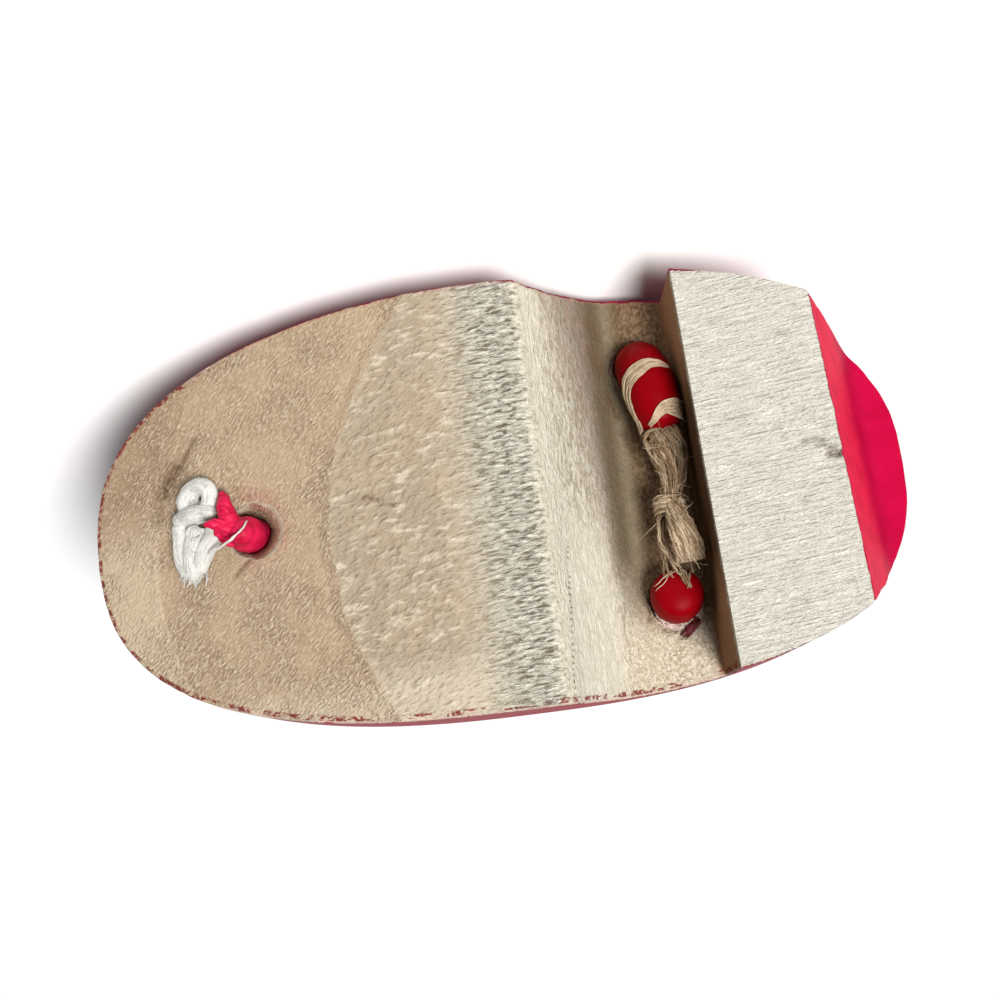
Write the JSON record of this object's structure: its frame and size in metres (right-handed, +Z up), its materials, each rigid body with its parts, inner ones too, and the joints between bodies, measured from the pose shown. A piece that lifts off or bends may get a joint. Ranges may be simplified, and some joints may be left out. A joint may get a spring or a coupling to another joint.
{
  "type": "geta",
  "caption": "Child's slant-toed geta lying on its side: carved wooden base with an oval deck, a cove and a heel block, under a padded V strap tied off below with cord.",
  "frame": {"origin": "middle of the bottom of the shoe's box, on the floor that the shoe lies on", "axes": "+X from the heel to the toe, +Z up from the floor, and the sole looks along -Y and a little up"},
  "size_m": [0.16, 0.0794, 0.0853],
  "materials": {
    "bare_wood": "bare sawn wood below, red lacquer on the sides, the deck and the back of the heel",
    "red_strap": "smooth red strap cloth with a soft gloss",
    "red_loop": "folded red cloth",
    "white_cord": "twisted off-white cotton cord",
    "hemp": "loose frayed hemp strands"
  },
  "bodies": {
    "root": {"dai": "bare_wood", "hanao_strap": "red_strap", "maetsubo_post": "red_loop", "toe_knot": "white_cord", "heel_lashing": "hemp", "lashing_tuft": "hemp"}
  },
  "joints": []
}
